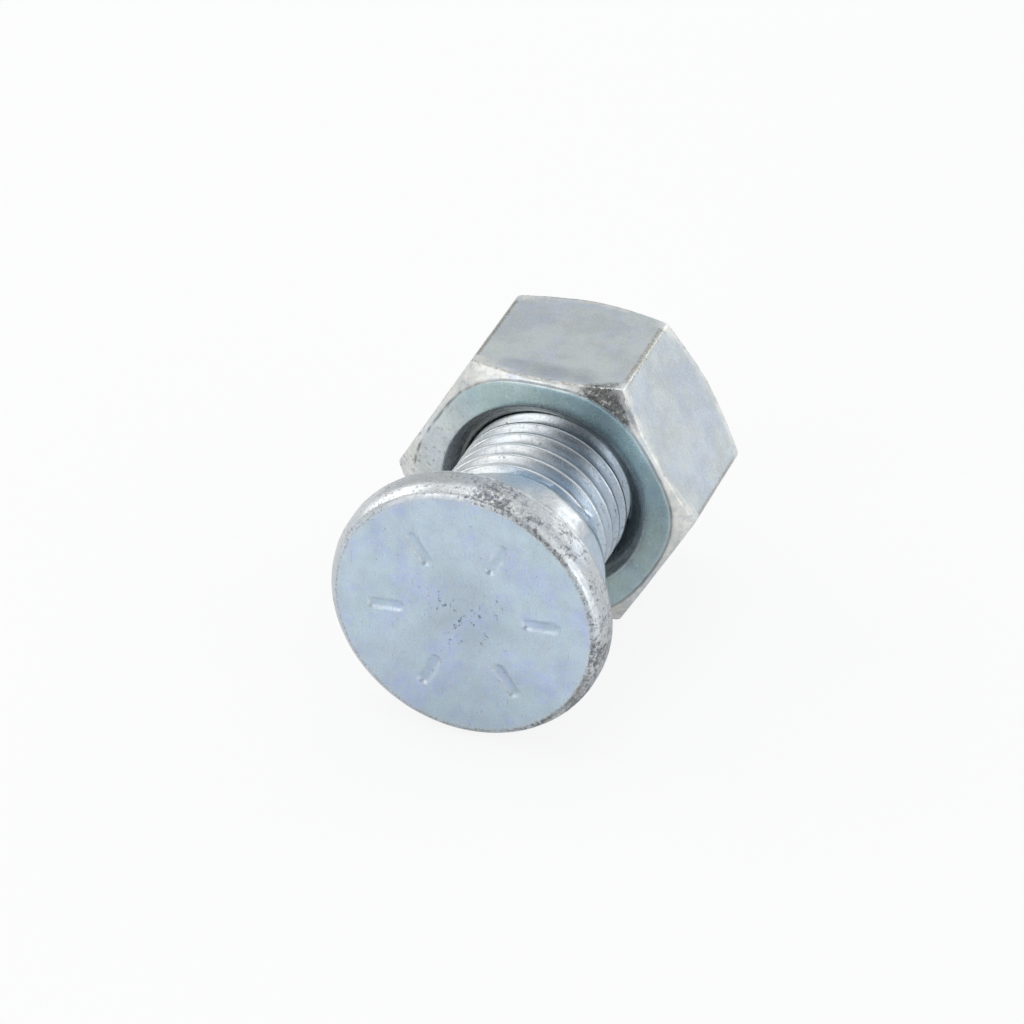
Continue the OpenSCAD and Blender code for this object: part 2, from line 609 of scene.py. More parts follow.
def rim_dull_and_shade(x, a, points):
    """Where the rim is dull by its pits, with painted shade over its right side and one dark blot by the
    face.
    """
    dull_and_shade = patches(a, *RIM_DULL_AND_SHADE_PATCHES) * smooth_step(x, *RIM_DULL_AND_SHADE_SPAN)
    blot = patches(a, RIM_BLOT) * fade(x, *RIM_BLOT_FADE)
    return np.maximum(dull_and_shade, blot * (RIM_BLOT_LEVEL + bumps(points, RIM_BLOT_LAYERS)))


def rim_strip(a):
    """Rounded edge, straight rim and the turn into the cone."""
    edge_r = spaced(EDGE_ROWS)[:, None]
    rim_x = np.linspace(EDGE_LENGTH, RIM_LENGTH, RIM_ROWS)[:, None]
    x = np.concatenate([edge_x(edge_r, a), np.repeat(rim_x, len(a), axis=1)])
    r = np.concatenate([edge_r, np.full(rim_x.shape, HEAD_R)])
    r = np.repeat(r, len(a), axis=1)
    r[-1] -= RIM_TURN_IN
    points = on_axis(x, r, a)
    r = r - hollows(points, RIM_LAYERS) * smooth_step(x, *RIM_LAYERS_SPAN)
    # Painted highlights brighten the rim and clear its pits and its dull places
    highlights = rim_highlights(x, a)
    masks = {
        "pitted": rim_pits(x, a) * (1 - RIM_PITS_HIGHLIGHT_OFF * highlights),
        "face": face_share(r, x),
        "edge": rim_torn(x, a),
        "shade_and_dirt": rim_dull_and_shade(x, a, points) * (1 - highlights),
        "worn_and_highlight": highlights,
    }
    return strip(on_axis(x, r, a), **masks)


def runout_end(a):
    """Where the neck's taper reaches the outside of the thread, as its end leans."""
    return TAPER_END + TAPER_LEAN * np.sin(a - math.radians(TAPER_LEVEL))


def neck_radius(x, a):
    """Radius of the cone, square neck and taper behind the head."""
    cone = HEAD_R - (x - RIM_LENGTH) * CONE_SLOPE
    flats = []
    for k, reach in enumerate(NECK_FLATS):
        cosine = np.cos(a - NECK_TURN - k * FULL_TURN / len(NECK_FLATS))
        flats.append(reach / np.maximum(cosine, FLAT_COSINE_LEAST))
    square = smooth_min(np.min(flats, axis=0), NECK_CORNER_R, CORNER_BLEND)
    fall = (NECK_CORNER_R - THREAD_R) / (runout_end(a) - NECK_TAPER_X)
    taper = NECK_CORNER_R - (x - NECK_TAPER_X) * fall
    return smooth_max(cone, smooth_min(square, taper, TAPER_BLEND), CONE_BLEND)


def blue_side(a):
    """Where round the axis the plating is blue, along the whole thread."""
    return BLUE_SIDE_SHARE * sector(a, *BLUE_SIDE)


def neck_strip(a):
    """From the back of the rim to the start of the thread."""
    x = np.linspace(NECK_START, THREAD_START, NECK_ROWS)[:, None]
    r = smooth_max(neck_radius(x, a), THREAD_R, THREAD_BLEND)
    points = on_axis(x, r, a)
    r = r - (NECK_SINK + bumps(points, NECK_LAYERS)) * fade(x, *NECK_LAYERS_FADE)
    # Painted highlight on the neck's corner
    corner = sector(a, *NECK_CORNER) * fade(x, *NECK_CORNER_FADE)
    blue = np.maximum(blue_side(a), patches(a, BLUE_FIRST_TURN)) * smooth_step(x, *BLUE_SPAN)
    blue = np.maximum(blue, patches(a, BLUE_BACK) * smooth_step(x, *BLUE_BACK_SPAN))
    masks = {
        "worn_and_highlight": NECK_WORN + NECK_CORNER_HIGHLIGHT * corner,
        "blue": np.maximum(blue, BLUE_LEAST),
        "pitted": NECK_PITS,
    }
    return strip(on_axis(x, r, a), **masks)


def bolt_thread_radius(x, a):
    """Radius of the rolled thread, from its run-out on the neck to its chamfered end."""
    formed_x = runout_end(a) - RUNOUT_EARLY
    formed = smooth_step(x, formed_x, formed_x + RUNOUT)
    r = thread_section(from_crest(x, a), THREAD_DEPTH * formed, THREAD_R)
    points = on_axis(x, r, a)
    wear = np.clip(bumps(points, THREAD_DENTS), 0, None) + bumps(points, THREAD_GRAIN)
    r = r - np.clip(wear, 0, None) * smooth_step(x, *THREAD_WEAR_SPAN)
    r = smooth_max(neck_radius(x, a), r, THREAD_BLEND)
    r = np.minimum(r, THREAD_R - END_CHAMFER + (BOLT_END - x))
    start = smooth_max(neck_radius(THREAD_START, a), THREAD_R, THREAD_BLEND)
    return np.where(x <= THREAD_START, start, r)


def bolt_thread_strip(a):
    """The rolled thread with its run-out and chamfered end."""
    x = helix_rows(THREAD_START, BOLT_END, a)
    r = bolt_thread_radius(x, a)
    full = runout_end(a)
    sunk = np.clip((THREAD_R - r) / THREAD_DEPTH, 0, 1)
    crest = fade(sunk, *CREST_SUNK_FADE) * fade(r, *CREST_R_FADE)
    # Painted shade at each root and on the flanks near the nut
    root_shade = ROOT_SHADE * smooth_step(sunk, *ROOT_SUNK_SPAN)
    thread_shade = patches(a, THREAD_SHADE) * smooth_step(x, *THREAD_SHADE_SPAN)
    pits = THREAD_PITS * fade(sunk, *THREAD_PITS_SUNK_FADE)
    first_turn = patches(a, BLUE_FIRST_TURN) * fade(x - full, *FIRST_TURN_FADE)
    masks = {
        "shade_and_dirt": np.maximum(root_shade, thread_shade),
        "worn_and_highlight": CREST_WORN * crest,
        "pitted": pits * smooth_step(x, full, full + THREAD_PITS_RUN),
        "blue": np.maximum(blue_side(a), first_turn) * (1 - crest),
    }
    return strip(on_axis(x, r, a), len(PROFILE_ROWS), **masks)


def end_strip(a):
    """The plain end of the thread, slightly dished."""
    end_r = THREAD_R - END_CHAMFER
    r = np.linspace(end_r, 0, END_ROWS)[:, None]
    dish = END_DISH * smooth_step(end_r - r, *END_DISH_SPAN)
    points = on_axis(BOLT_END - dish, r, a)
    points[1:-1, :, 0] -= hollows(points[1:-1], END_LAYERS)
    return strip(points, pitted=END_PITS)


def make_bolt():
    """Head, neck and thread as one mesh in place of the plain solid."""
    a = np.arange(COLUMNS) * FULL_TURN / COLUMNS
    face = face_strip(a)
    rim = rim_strip(a)
    neck = neck_strip(a)
    face_seam = bridge(face, rim, face=FACE_SEAM_TINT, edge=edge_wear(a))
    neck_seam = bridge(rim, neck, pitted=NECK_SEAM_PITS)
    strips = [face, face_seam, rim, neck_seam, neck, bolt_thread_strip(a), end_strip(a)]
    return build_piece("bolt_forged", strips, BOLT_SHARP_DEG)


def nut_azimuths():
    """Azimuths that crowd together at the nut's corners."""
    per_side = COLUMNS // NUT_SIDES
    t = np.arange(per_side) / per_side
    side = t - CORNER_CROWDING * np.sin(FULL_TURN * t)
    return np.concatenate([(k + side) * FULL_TURN / NUT_SIDES for k in range(NUT_SIDES)])


def hex_radius(a):
    """Radius of the nut's outside with softened corners."""
    off = (a % NUT_SECTOR) - NUT_SECTOR / 2
    near = NUT_APOTHEM / np.cos(off)
    beside = NUT_APOTHEM / np.cos(NUT_SECTOR - np.abs(off))
    return smooth_min(near, beside, NUT_CORNER_SOFT)


def nut_thread_strip(a):
    """The nut's thread, in step with the bolt's, and its two countersinks."""
    lip_depth = SINK_LIP[0][0]
    low = NUT_X0 + lip_depth
    high = NUT_X1 - lip_depth
    x = helix_rows(low, high, a)
    thread = thread_section(from_crest(x, a), THREAD_DEPTH, THREAD_R + THREAD_CLEARANCE)
    sink = np.maximum(SINK_R - (x - low), SINK_R - (high - x))
    r = np.maximum(np.maximum(thread, NUT_BORE_R), sink)
    # Painted shade in the bore, deeper inside; less of it at the countersink's soft side, which gets
    # painted light instead
    even, added = BORE_SHADE
    bore_shade = even + added * smooth_step(SINK_R - r, *BORE_SHADE_SPAN)
    tint = patches(a, SINK_TINT)
    masks = {"shade_and_dirt": bore_shade * (1 - patches(a, SINK_SHADE_EASED)), "face": tint, "worn_and_highlight": SINK_PAINTED_LIGHT * tint}
    return strip(on_axis(x, r, a), len(PROFILE_ROWS), **masks)


def nut_end_rows(a, end):
    """Rows of depth, radius, burr and lip from the countersink to the flats, at one end."""
    around = on_axis(0.0, end["ring_r"], a)
    edge = end["ring_r"] + end["wave"] * np.cos(NUT_SIDES * a) + bumps(around, end["ragged"])
    torn = 0.5 + bumps(around, end["torn"])
    side = hex_radius(a)
    plain = np.zeros_like(a)
    rows = []
    for depth, crisp, soft in SINK_LIP:
        rows.append((depth, SINK_R + crisp + (soft - crisp) * patches(a, SINK_SOFT), plain, plain))
    lip_r = rows[-1][1]
    for t in RING_SHARES:
        rows.append((0.0, lip_r + (edge - RING_INSET - lip_r) * t, plain, plain))
    heavy = BURR_EVEN + patches(a, *BURR_PATCHES)
    heavy = heavy * (1 - patches(a, BURR_BROKEN) * fade(torn, *BURR_BREAK_FADE))
    for depth, torn_depth, out, dark, torn_dark in BURR_ROWS:
        rows.append((depth + torn_depth * torn, edge + out, (dark + torn_dark * torn) * heavy, plain))
    start = edge + BURR_OUT
    stop = side - CHAMFER_INSET
    for t in CHAMFER_SHARES:
        r = start + (stop - start) * t
        rows.append((np.maximum((r - edge) * end["slope"], CHAMFER_DEPTH_LEAST), r, plain, plain))
    corner = (side - edge) * end["slope"]
    for past, inset, torn_inset, lip, torn_lip in LIP_ROWS:
        rows.append((corner + past, side - inset - torn_inset * torn, plain, lip + torn_lip * torn))
    return rows


NutRows = namedtuple("NutRows", "x r burr lip deep")


def nut_rows(a):
    """Rows over the nut's outside from end to end, with their depth from the nearer end."""
    near = [(NUT_X0 + depth + 0 * a, r, burr, lip) for depth, r, burr, lip in nut_end_rows(a, NEAR_END)]
    far = [(NUT_X1 - depth + 0 * a, r, burr, lip) for depth, r, burr, lip in nut_end_rows(a, FAR_END)]
    first = near[-1][0]
    last = far[-1][0]
    plain = np.zeros_like(a)
    flats = []
    for t in np.linspace(0, 1, FLAT_ROWS + 2)[1:-1]:
        flats.append((first + (last - first) * t, hex_radius(a), plain, plain))
    x, r, burr, lip = (np.array(column) for column in zip(*near, *flats, *reversed(far)))
    return NutRows(x, r, burr, lip, np.minimum(x - NUT_X0, NUT_X1 - x))


def nut_points(a, rows):
    """The nut's outside, slightly wavy, with the rough corner hacked into the near chamfer."""
    points = on_axis(rows.x, rows.r, a)
    wave = np.clip(NUT_SINK - bumps(points, NUT_LAYERS), 0, None)
    wave[:len(SINK_LIP)] = 0
    wave[-len(SINK_LIP):] = 0
    wave[rows.deep < NUT_END_KEPT] = 0
    points[..., 1:] *= (1 - wave / rows.r)[..., None]
    chamfer = (rows.r > NUT_APOTHEM - HACKED_IN) & (rows.r < hex_radius(a) - HACKED_OUT)
    chamfer = chamfer & (rows.x < NUT_X0 + HACKED_REACH)
    hacked = sector(a, *HACKED) * smooth_step(rows.deep, *HACKED_SPAN) * (1 - rows.lip) * chamfer
    points[..., 0] += hacked * (HACKED_DEPTH + bumps(points, HACKED_LAYERS))
    return points


def hacked_corner(a, rows):
    """The rough corner's share of a chamfer, less the bright streak along its right edge."""
    right = smooth_step(np.sin(a - math.radians(HACKED_AT)), *HACKED_STREAK_SINES)
    streak = right * smooth_step(rows.r - hex_radius(a), *HACKED_STREAK_SPAN)
    return sector(a, *HACKED) * (1 - streak)


def flat_scuff(a, rows, points):
    """Dark streaks across the upper flat, just behind the near chamfer."""
    streaks = 0.5 + bumps(points * SCUFFED_STRETCH, SCUFFED_LAYERS)
    across = band(points[..., 1], *SCUFFED_ACROSS)
    near_end = rows.x < NUT_X0 + SCUFFED_REACH
    return patches(a, SCUFFED_TOP) * streaks * across * band(rows.deep, *SCUFFED_DEPTH) * near_end


def ring_shade(a, rows):
    """Painted shade on the bearing ring at the right, and beside the soft side of the countersink."""
    inner = fade(rows.r, *RING_SHADED_FADE)
    return patches(a, RING_SHADE_RIGHT) + patches(a, RING_SHADED) * inner


def nut_outside_strip(a):
    """Both bearing faces, the chamfers and the six flats."""
    rows = nut_rows(a)
    points = nut_points(a, rows)
    lip = rows.lip
    chamfer = smooth_step(rows.deep, *CHAMFER_SPAN)
    chamfer = chamfer * fade(rows.deep - (rows.r - NUT_APOTHEM), *CHAMFER_FADE)
    ring = (rows.deep < RING_DEPTH) & (rows.r < NUT_APOTHEM + RING_OUT)
    corner_line = smooth_step(rows.r, *CORNER_LINE_SPAN) * (1 - chamfer)
    hacked = hacked_corner(a, rows)
    hacked_near = hacked * (rows.x < NUT_X0 + NUT_NEAR_REACH)
    bright = sector(a, *LIP_BRIGHT)
    hacked_dark = HACKED_DARK * hacked_near * chamfer * (1 - lip)
    # Painted shade on the bearing ring, joined with the dark of the rough corner
    dark = np.maximum(hacked_dark, ring * ring_shade(a, rows))
    pits = chamfer * (CHAMFER_PITS + HACKED_PITS * hacked_near + patches(a, CHAMFER_PITS_LEFT))
    pits = np.minimum(pits + LIP_PITS * lip + ring * patches(a, RING_STAINED), 1.0)
    blue_flat = np.cos(a - math.radians(BLUE_FLAT_AT)) > math.cos(NUT_SECTOR / 2)
    masks = {
        "shade_and_dirt": np.maximum(np.maximum(rows.burr, dark), flat_scuff(a, rows, points)),
        "pitted": pits + CORNER_LINE_PITS * corner_line,
        # Painted highlight along the lip where it faces the bright side of the studio
        "worn_and_highlight": np.maximum(CHAMFER_WORN * chamfer * (1 - hacked), LIP_HIGHLIGHT * lip * bright),
        "face": ring * (1 - RING_PALE_SHARE * sector(a, *RING_PALE)),
        "edge": np.maximum(CORNER_LINE_TORN * corner_line, LIP_TORN * lip * (1 - bright)),
        "blue": BLUE_FLAT_SHARE * blue_flat * smooth_step(rows.deep, *BLUE_FLAT_SPAN),
    }
    return strip(points, **masks)


def make_nut():
    """The nut as one mesh in place of the plain solid."""
    a = nut_azimuths()
    return build_piece("nut_hexagon", [nut_thread_strip(a), nut_outside_strip(a)], NUT_SHARP_DEG)


class Nodes:
    """Short ways to add and join the nodes of one node tree."""

    def __init__(self, tree):
        self.tree = tree
        tree.nodes.clear()

    def add(self, kind, **values):
        """A node with its settings and plain input values."""
        node = self.tree.nodes.new(kind)
        for name, value in values.items():
            if hasattr(node, name):
                setattr(node, name, value)
            else:
                node.inputs[name.replace("_", " ")].default_value = value
        return node

    def link(self, source, target):
        """Joins an output to an input."""
        self.tree.links.new(source, target)

    def noise(self, vector, field):
        """Raw value of a noise field."""
        settings = {"Scale": field.scale, "Detail": field.detail, "Roughness": field.roughness}
        node = self.add("ShaderNodeTexNoise", **settings)
        self.link(vector, node.inputs["Vector"])
        return node.outputs["Fac"]

    def attribute(self, name):
        """Value of a mask that the mesh carries."""
        node = self.add("ShaderNodeAttribute", attribute_name=name)
        return node.outputs["Fac"]

    def remap(self, value, low, high, to_low=0.0, to_high=1.0):
        """A value eased from one span to another."""
        node = self.add("ShaderNodeMapRange", interpolation_type="SMOOTHSTEP")
        self.link(value, node.inputs["Value"])
        spans = {"From Min": low, "From Max": high, "To Min": to_low, "To Max": to_high}
        for name, number in spans.items():
            node.inputs[name].default_value = number
        return node.outputs["Result"]

    def field(self, vector, field, to_low=0.0, to_high=1.0):
        """Value of a noise field, eased from its own span to another."""
        return self.remap(self.noise(vector, field), field.low, field.high, to_low, to_high)

    def math(self, operation, first, second):
        """Arithmetic on a value and a value or number."""
        node = self.add("ShaderNodeMath", operation=operation)
        self.link(first, node.inputs[0])
        if isinstance(second, (int, float)):
            node.inputs[1].default_value = second
        else:
            self.link(second, node.inputs[1])
        return node.outputs["Value"]

    def times(self, first, second):
        """Product of a value and a value or number."""
        return self.math("MULTIPLY", first, second)

    def mix(self, factor, first, second):
        """Blend of two colours, each a colour or an output."""
        node = self.add("ShaderNodeMix", data_type="RGBA")
        self.link(factor, node.inputs["Factor"])
        for socket, colour in ((node.inputs[6], first), (node.inputs[7], second)):
            if isinstance(colour, tuple):
                socket.default_value = (*colour, 1.0)
            else:
                self.link(colour, socket)
        return node.outputs[2]


# A noise field: its scale per metre, detail and roughness, and the span that counts
Field = namedtuple("Field", "scale detail roughness low high")

# Tints of the plating
BROAD = Field(150, 2, 0.55, 0.36, 0.64)
CLOUD = Field(420, 4, 0.55, 0.40, 0.66)
LILAC = Field(210, 4, 0.55, 0.46, 0.62)
MOTTLE = Field(1000, 4, 0.65, 0.44, 0.60)
RUBBED = Field(800, 4, 0.55, 0.38, 0.56)
CLOUD_SHARE = 0.6
LILAC_SHARE = 0.9
MOTTLE_SHARE = 0.5
BLUE_SHARE = 0.8
RUBBED_TO = (0.15, 0.9)

# Pits, with stains and glints between them; they keep off the tinted face
PITS = Field(2000, 7, 0.7, 0.44, 0.27)
PIT_PATCH = Field(300, 3, 0.55, 0.38, 0.58)
PIT_FLOOR = Field(4200, 3, 0.55, 0.34, 0.52)
STAIN = Field(520, 5, 0.6, 0.48, 0.64)
PIT_PATCH_TO = (0.2, 1.0)
PIT_FLOOR_TO = (0.45, 1.0)
PIT_GAIN = 0.19
PIT_SHARE = 0.85
STAIN_SHARE = 0.4
OFF_FACE = (0.3, 1.0, 1.0, 0.0)
SCARRED_SPAN = (0.02, 0.35)

# Torn edges
TORN = Field(2700, 6, 0.72, 0.42, 0.20)
TORN_FLOOR = Field(3600, 3, 0.55, 0.40, 0.54)
TORN_FLOOR_TO = (0.4, 0.85)
TORN_GAIN = 0.28
TORN_SPAN = (0.05, 0.5)

# Specks, bright sparks on the face, and scratches, which are long one way and slant
DOTS = Field(1500, 6, 0.72, 0.61, 0.69)
DOT_PATCH = Field(420, 3, 0.55, 0.44, 0.58)
SPARK = Field(3300, 2, 0.55, 0.66, 0.74)
SCRATCH = Field(260, 1, 0.55, 0.72, 0.78)
SCRATCH_TURN = (math.radians(35), 0.0, 0.0)
SCRATCH_STRETCH = (1.0, 22.0, 1.0)
DOT_GAIN = 0.09
SPARK_SHARE = 0.6
MARK_SHARE = 0.8

# Light and dark grain, and fine rolling and turning marks that run round the axis
GRAIN = Field(3600, 4, 0.7, 0.3, 0.7)
STREAK = Field(330, 5, 0.6, 0.3, 0.7)
STREAK_STRETCH = (9.0, 1.0, 1.0)
HAZE = Field(260, 6, 0.66, 0.36, 0.64)
GRAIN_LIFT = 0.06

# Relief and gloss
BUMP_DISTANCE = 0.00004
LUMP_HEIGHT = 4.0
MARK_DEPTH = 1.2
MARK_ROUGH = 0.25
WORN_ROUGH = 0.14


def plated_colour(n, at, masks, look):
    """Blotchy plating with its own tint on the face, blue places, worn places with painted highlights,
    and dirt with painted shade.
    """
    broad = n.field(at, BROAD)
    colour = n.mix(broad, look["tint_a"], look["tint_b"])
    colour = n.mix(n.times(n.field(at, CLOUD), CLOUD_SHARE), colour, look["tint_c"])
    face = n.mix(broad, look["face_a"], look["face_b"])
    face = n.mix(n.times(n.field(at, LILAC), LILAC_SHARE), face, look["face_c"])
    face = n.mix(n.times(n.field(at, MOTTLE), MOTTLE_SHARE), face, look["face_d"])
    colour = n.mix(masks["face"], colour, face)
    colour = n.mix(n.times(masks["blue"], BLUE_SHARE), colour, look["blue"])
    colour = n.mix(n.times(masks["worn_and_highlight"], n.field(at, RUBBED, *RUBBED_TO)), colour, look["worn_and_highlight"])
    return n.mix(n.times(masks["shade_and_dirt"], look["shade_and_dirt_amount"]), colour, look["shade_and_dirt"])


def pitted_colour(n, at, masks, look, colour):
    """The colour with pits, stains and glints, and where the pits and their lumps are."""
    pits = n.noise(at, PITS)
    cover = n.times(masks["pitted"], n.remap(n.field(at, PIT_PATCH), 0.0, 1.0, *PIT_PATCH_TO))
    scarred = n.times(masks["pitted"], n.remap(masks["face"], *OFF_FACE))
    dark = n.remap(n.math("SUBTRACT", pits, n.times(cover, PIT_GAIN)), PITS.low, PITS.high)
    dark = n.times(dark, n.remap(scarred, *SCARRED_SPAN))
    dark = n.times(dark, n.field(at, PIT_FLOOR, *PIT_FLOOR_TO))
    glint = n.times(n.field(at, look["glint"]), scarred)
    stain = n.times(n.field(at, STAIN), scarred)
    colour = n.mix(n.times(stain, STAIN_SHARE), colour, look["stain"])
    colour = n.mix(n.times(glint, look["glint_amount"]), colour, look["worn_and_highlight"])
    colour = n.mix(n.times(dark, PIT_SHARE), colour, look["pit"])
    return colour, dark, n.times(pits, n.times(scarred, LUMP_HEIGHT))


def torn_colour(n, at, masks, look, colour):
    """The colour with dark, torn edges."""
    torn = n.math("SUBTRACT", n.noise(at, TORN), n.times(masks["edge"], TORN_GAIN))
    torn = n.times(n.remap(torn, TORN.low, TORN.high), n.remap(masks["edge"], *TORN_SPAN))
    torn = n.times(torn, n.field(at, TORN_FLOOR, *TORN_FLOOR_TO))
    return n.mix(torn, colour, look["edge"])


def marked_colour(n, at, masks, look, colour):
    """The colour with sparks, specks and scratches, and where the dark marks are."""
    dots = n.math("ADD", n.noise(at, DOTS), n.times(masks["pitted"], DOT_GAIN))
    specks = n.times(n.remap(dots, DOTS.low, DOTS.high), n.field(at, DOT_PATCH))
    specks = n.times(specks, look["specks"])
    slanted = n.add("ShaderNodeMapping", Rotation=SCRATCH_TURN, Scale=SCRATCH_STRETCH)
    n.link(at, slanted.inputs["Vector"])
    scratches = n.times(n.field(slanted.outputs["Vector"], SCRATCH), look["scratches"])
    sparks = n.times(n.field(at, SPARK), masks["face"])
    colour = n.mix(n.times(sparks, SPARK_SHARE), colour, look["worn_and_highlight"])
    marks = n.math("MAXIMUM", specks, scratches)
    return n.mix(n.times(marks, MARK_SHARE), colour, look["speck"]), marks


def streaks_round(n, at):
    """Raw noise drawn out round the bolt's axis."""
    spread = n.add("ShaderNodeVectorMath", operation="MULTIPLY")
    n.link(at, spread.inputs[0])
    spread.inputs[1].default_value = STREAK_STRETCH
    return n.noise(spread.outputs["Vector"], STREAK)


def lifted(n, at, look, colour, grain, streak):
    """The colour made lighter and darker by streaks, grain and haze."""
    brushed = look["brushed"]
    cloudy = look["cloudy"]
    lift = n.remap(streak, STREAK.low, STREAK.high, 1 - brushed, 1 + brushed)
    lift = n.math("ADD", n.remap(grain, GRAIN.low, GRAIN.high, -GRAIN_LIFT, GRAIN_LIFT), lift)
    lift = n.math("ADD", n.field(at, HAZE, -cloudy, cloudy), lift)
    shade = n.add("ShaderNodeHueSaturation")
    n.link(lift, shade.inputs["Value"])
    n.link(colour, shade.inputs["Color"])
    return shade.outputs["Color"]


def zinc(name, look):
    """Worn zinc plating: blotchy tint, mottled pits, specks, scratches and fine grain, with the painted
    shade and painted highlights that the masks carry.
    """
    material = bpy.data.materials.new(name)
    material.use_nodes = True
    n = Nodes(material.node_tree)
    at = n.add("ShaderNodeTexCoord").outputs["Object"]
    masks = {mask: n.attribute(mask) for mask in MASKS}
    colour = plated_colour(n, at, masks, look)
    colour, dark, lumps = pitted_colour(n, at, masks, look, colour)
    colour = torn_colour(n, at, masks, look, colour)
    colour, marks = marked_colour(n, at, masks, look, colour)
    grain = n.noise(at, GRAIN)
    streak = streaks_round(n, at)
    colour = lifted(n, at, look, colour, grain, streak)

    deep = n.math("MAXIMUM", dark, marks)
    height = n.math("SUBTRACT", n.math("ADD", grain, lumps), n.times(deep, MARK_DEPTH))
    bump = n.add("ShaderNodeBump", Strength=look["bump"], Distance=BUMP_DISTANCE)
    n.link(height, bump.inputs["Height"])
    smoothest, roughest = look["roughness"]
    gloss = n.remap(streak, STREAK.low, STREAK.high, roughest, smoothest)
    roughened = ((deep, MARK_ROUGH), (masks["worn_and_highlight"], WORN_ROUGH), (masks["face"], look["face_rough"]))
    for mask, amount in roughened:
        gloss = n.math("ADD", gloss, n.times(mask, amount))

    shader = n.add("ShaderNodeBsdfPrincipled", Metallic=1.0)
    n.link(colour, shader.inputs["Base Color"])
    n.link(gloss, shader.inputs["Roughness"])
    n.link(bump.outputs["Normal"], shader.inputs["Normal"])
    output = n.add("ShaderNodeOutputMaterial")
    n.link(shader.outputs["BSDF"], output.inputs["Surface"])
    return material


BOLT_LOOK = {
    "tint_a": (0.68, 0.70, 0.71),
    "tint_b": (0.64, 0.68, 0.72),
    "tint_c": (0.70, 0.70, 0.67),
    "face_a": (0.60, 0.71, 0.81),
    "face_b": (0.57, 0.70, 0.78),
    "face_c": (0.55, 0.64, 0.85),
    "face_d": (0.60, 0.69, 0.75),
    "blue": (0.43, 0.58, 0.75),
    "stain": (0.50, 0.48, 0.41),
    "edge": (0.29, 0.28, 0.26),
    "pit": (0.15, 0.15, 0.16),
    "speck": (0.13, 0.18, 0.24),
    "shade_and_dirt": (0.22, 0.25, 0.29),
    "shade_and_dirt_amount": 0.85,
    "worn_and_highlight": (0.88, 0.90, 0.91),
    "glint": Field(2600, 4, 0.65, 0.50, 0.62),
    "glint_amount": 0.55,
    "cloudy": 0.02,
    "brushed": 0.05,
    "roughness": (0.20, 0.32),
    "specks": 1.0,
    "scratches": 0.5,
    "face_rough": 0.08,
    "bump": 0.35,
}
NUT_LOOK = {
    "tint_a": (0.67, 0.71, 0.71),
    "tint_b": (0.63, 0.68, 0.75),
    "tint_c": (0.69, 0.71, 0.66),
    "face_a": (0.55, 0.71, 0.69),
    "face_b": (0.57, 0.70, 0.68),
    "face_c": (0.52, 0.67, 0.72),
    "face_d": (0.55, 0.68, 0.70),
    "blue": (0.50, 0.62, 0.74),
    "stain": (0.52, 0.48, 0.40),
    "edge": (0.36, 0.33, 0.27),
    "pit": (0.12, 0.12, 0.11),
    "speck": (0.22, 0.24, 0.24),
    "shade_and_dirt": (0.15, 0.16, 0.17),
    "shade_and_dirt_amount": 0.85,
    "worn_and_highlight": (0.90, 0.88, 0.83),
    "glint": Field(1700, 4, 0.65, 0.535, 0.60),
    "glint_amount": 0.9,
    "cloudy": 0.07,
    "brushed": 0.035,
    "roughness": (0.20, 0.32),
    "specks": 0.3,
    "scratches": 0.2,
    "face_rough": 0.0,
    "bump": 0.3,
}

# The part lies on the head's rim and the nut's far lower edge
REST_HEAD_X = RIM_LENGTH
REST_NUT_X = NUT_X1 - 0.2
FLOOR_TILT = math.atan((HEAD_R - NUT_APOTHEM) / (REST_NUT_X - REST_HEAD_X))
FLOOR_HALF = 6.0
FLOOR_WHITE = 0.86
FLOOR_GLOW = 0.86
FLOOR_MIRROR = 0.15


def make_floor():
    """A wide white floor that touches the head and the nut."""
    mesh = bpy.data.meshes.new("floor")
    h = FLOOR_HALF
    mesh.from_pydata([(-h, -h, 0), (h, -h, 0), (h, h, 0), (-h, h, 0)], [], [(0, 1, 2, 3)])
    floor = bpy.data.objects.new("floor", mesh)
    bpy.context.scene.collection.objects.link(floor)
    floor.location = (REST_HEAD_X * MM, 0, -HEAD_R * MM)
    floor.rotation_euler = (0, -FLOOR_TILT, 0)
    material = bpy.data.materials.new("floor_white")
    material.use_nodes = True
    n = Nodes(material.node_tree)
    path = n.add("ShaderNodeLightPath")
    mirrored = n.math("MAXIMUM", path.outputs["Is Glossy Ray"], path.outputs["Is Transmission Ray"])
    seen = n.times(path.outputs["Is Camera Ray"], FLOOR_GLOW)
    seen = n.math("MAXIMUM", seen, n.times(mirrored, FLOOR_MIRROR))
    paint = n.add("ShaderNodeBsdfDiffuse", Color=(FLOOR_WHITE, FLOOR_WHITE, FLOOR_WHITE, 1))
    glow = n.add("ShaderNodeEmission", Color=(1, 1, 1, 1), Strength=1.0)
    blend = n.add("ShaderNodeMixShader")
    n.link(seen, blend.inputs["Fac"])
    n.link(paint.outputs["BSDF"], blend.inputs[1])
    n.link(glow.outputs["Emission"], blend.inputs[2])
    output = n.add("ShaderNodeOutputMaterial")
    n.link(blend.outputs["Shader"], output.inputs["Surface"])
    mesh.materials.append(material)
    return floor


# The studio round the part: cosines from a direction, and the light at either end
BRIGHT_SIDE = (0.62, -0.78, 0.0)
BRIGHT_LEVELS = (-0.1, 0.9, 0.58, 0.95)
DARK_SPOT = (-0.92, -0.25, 0.29)
DARK_LEVELS = (0.87, 0.975, 1.0, 0.26)
SKY_COLOUR = (0.94, 0.97, 1.0, 1.0)


